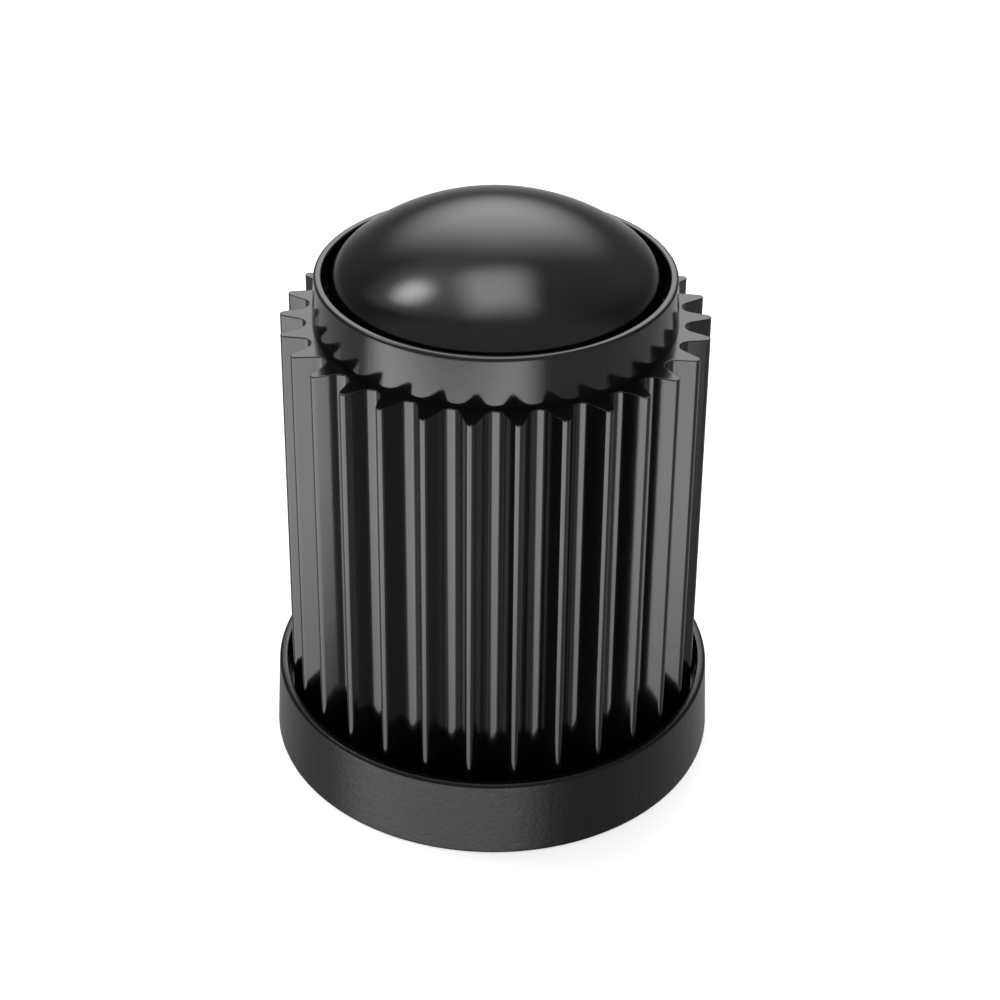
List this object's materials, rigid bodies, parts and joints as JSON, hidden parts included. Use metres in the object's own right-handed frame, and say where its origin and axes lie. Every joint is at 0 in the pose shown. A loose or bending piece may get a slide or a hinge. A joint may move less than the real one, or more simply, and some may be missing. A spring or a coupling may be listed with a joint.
{
  "type": "tyre valve cap",
  "caption": "Screw-on cap for a tyre valve, with a ribbed grip in a cupped collar, a domed top in a crown ring and a rubber washer inside.",
  "frame": {"origin": "centre of the foot, on the surface that the cap stands on", "axes": "+Z along the cap's axis towards the dome, -Z out of the threaded mouth, -Y towards the picture's camera"},
  "size_m": [0.0114, 0.0114, 0.0146],
  "materials": {
    "moulded_plastic": "satin moulded black",
    "seal_rubber": "matt black rubber"
  },
  "bodies": {
    "root": {"cap_body": "moulded_plastic", "sealing_washer": "seal_rubber"}
  },
  "joints": []
}
